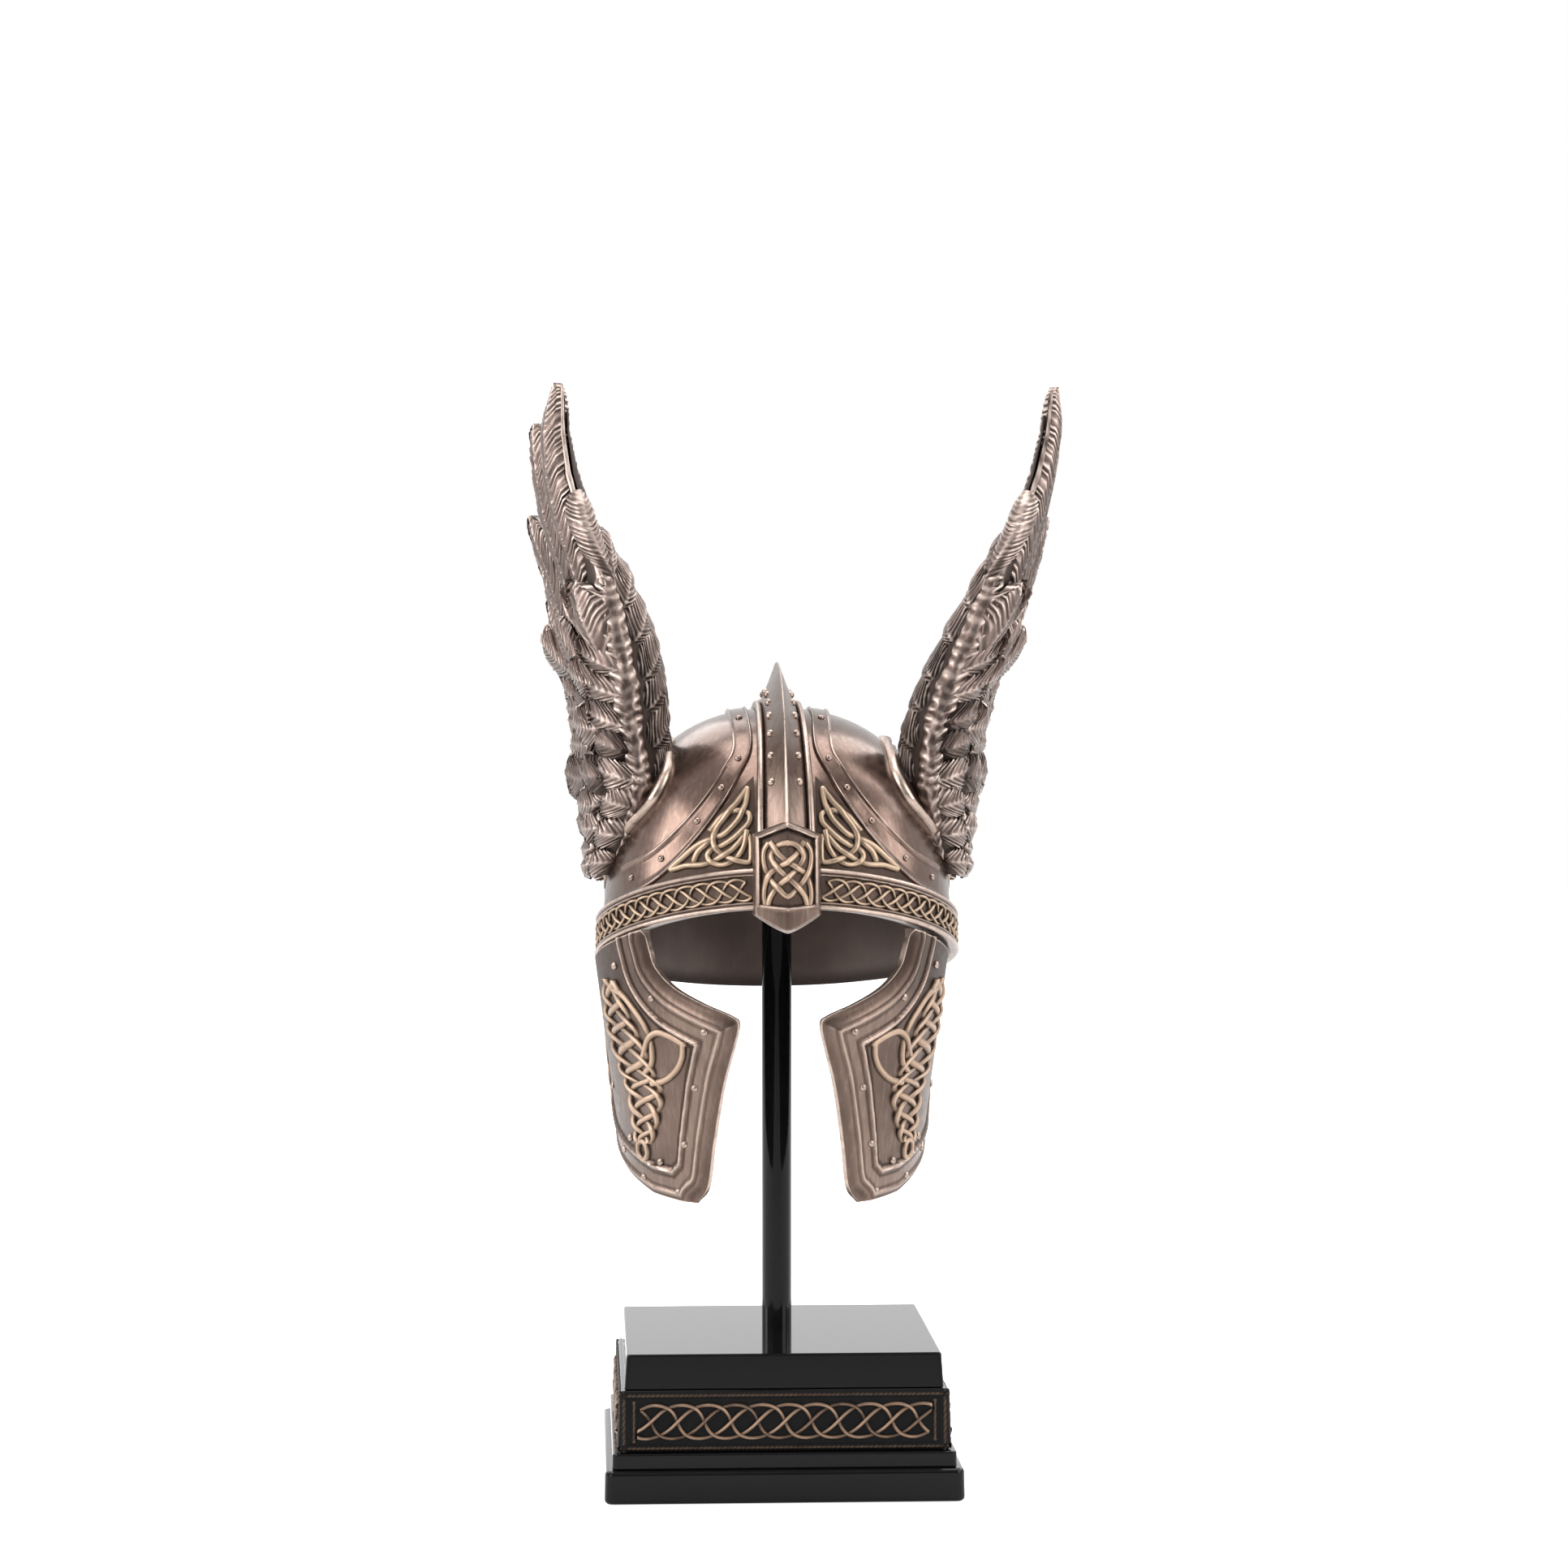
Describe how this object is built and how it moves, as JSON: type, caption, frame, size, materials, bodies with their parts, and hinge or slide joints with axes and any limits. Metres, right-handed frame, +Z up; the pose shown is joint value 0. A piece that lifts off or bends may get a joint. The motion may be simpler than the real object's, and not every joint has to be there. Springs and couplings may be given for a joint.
{
  "type": "winged helmet on display stand",
  "caption": "Bronze-finished miniature helmet with upswept feathered wings, comb, brow interlace and cheek guards, held by a rod on a black stepped square stand for display.",
  "frame": {"origin": "middle of the foot's underside, on the surface the stand rests on", "axes": "+Z up along the rod, -Y the way the helmet faces, +X to the right as seen from the front"},
  "size_m": [0.1467, 0.1175, 0.294],
  "materials": {
    "bronze": "brown bronze patina, brushed, darker in the recesses",
    "gilt": "pale gold rubbed on raised interlace",
    "lacquer": "satin black lacquer"
  },
  "bodies": {
    "root": {"foot": "lacquer", "step": "lacquer", "frieze": "lacquer", "plinth": "lacquer", "rod": "lacquer", "bowl": "bronze", "brow_band": "bronze", "comb": "bronze", "front_plaque": "bronze", "plaque_knot": "gilt", "hem_left": "bronze", "wing_plate_left": "bronze", "wing_left": "bronze", "cheek_guard_left": "bronze", "brow_knot_left": "gilt", "corner_knot_left": "gilt", "cheek_knot_left": "gilt", "hem_right": "bronze", "wing_plate_right": "bronze", "wing_right": "bronze", "cheek_guard_right": "bronze", "brow_knot_right": "gilt", "corner_knot_right": "gilt", "cheek_knot_right": "gilt"}
  },
  "joints": []
}
